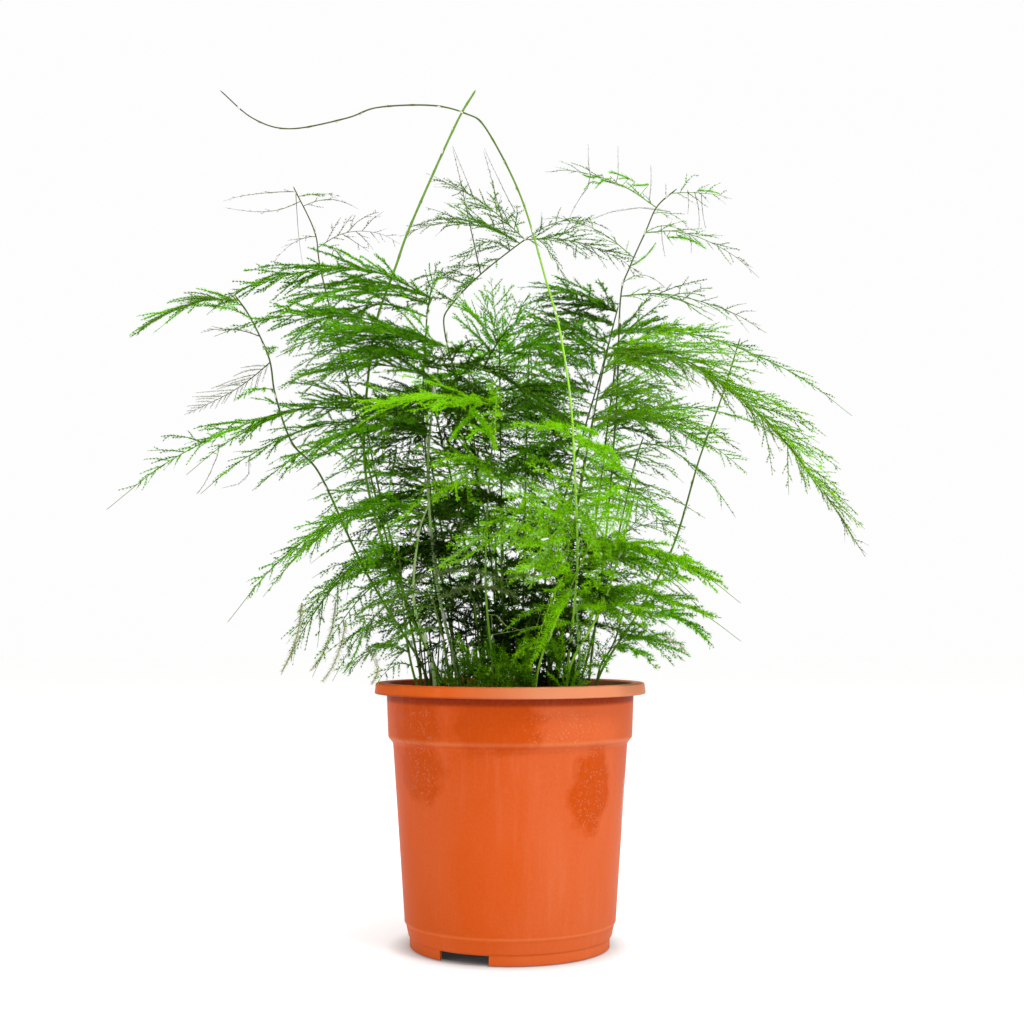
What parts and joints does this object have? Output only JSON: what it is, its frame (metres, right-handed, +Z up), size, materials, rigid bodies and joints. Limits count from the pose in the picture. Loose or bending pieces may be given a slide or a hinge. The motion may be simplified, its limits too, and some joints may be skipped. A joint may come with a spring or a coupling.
{
  "type": "potted asparagus fern",
  "caption": "Bushy potted plant with wiry stems and flat feathery sprays of fine needles, planted in soil in a round tapered plastic nursery pot with a lipped rim.",
  "frame": {"origin": "on the surface that the pot stands on, on the pot's axis, in the middle of its foot; the plant spreads evenly enough that this is also the middle of the whole box to within 2 mm", "axes": "+Z up along the pot's axis; the front, as pictured, faces -Y, and +X is to the viewer's right"},
  "size_m": [0.3307, 0.2431, 0.3965],
  "materials": {
    "pot_plastic": "glossy moulded plastic with a few dried water marks",
    "soil": null,
    "foliage_green": null,
    "foliage_bright": null,
    "foliage_dark": null,
    "foliage_twiggy": null
  },
  "bodies": {
    "root": {"pot": "pot_plastic", "soil": "soil", "climber_curled": "foliage_green", "climber_straight": "foliage_bright", "climber_right": "foliage_green", "shoot_left_tall": "foliage_green", "shoot_left_arch": "foliage_twiggy", "shoot_left_fan": "foliage_green", "shoot_left_tier": "foliage_green", "shoot_left_long": "foliage_green", "shoot_left_low": "foliage_green", "shoot_left_droop": "foliage_green", "shoot_left_pale": "foliage_twiggy", "shoot_centre_lime": "foliage_bright", "shoot_centre_dark": "foliage_dark", "shoot_right_lime": "foliage_bright", "shoot_front": "foliage_bright", "shoot_right_bright": "foliage_bright", "shoot_right_low": "foliage_green", "shoot_right_arch": "foliage_bright", "shoot_right_high": "foliage_green", "shoot_right_tall": "foliage_green", "shoot_upper_twig": "foliage_twiggy", "shoot_dark_top": "foliage_dark", "shoot_centre_tuft": "foliage_green", "shoot_right_mid": "foliage_green", "shoot_back_a": "foliage_green", "shoot_back_b": "foliage_green", "shoot_back_c": "foliage_green", "shoot_back_d": "foliage_green", "shoot_back_e": "foliage_green", "shoot_back_f": "foliage_green", "shoot_back_g": "foliage_green", "shoot_inner_a": "foliage_dark", "shoot_inner_b": "foliage_dark", "shoot_inner_c": "foliage_dark", "shoot_inner_d": "foliage_dark", "shoot_inner_e": "foliage_dark"}
  },
  "joints": []
}
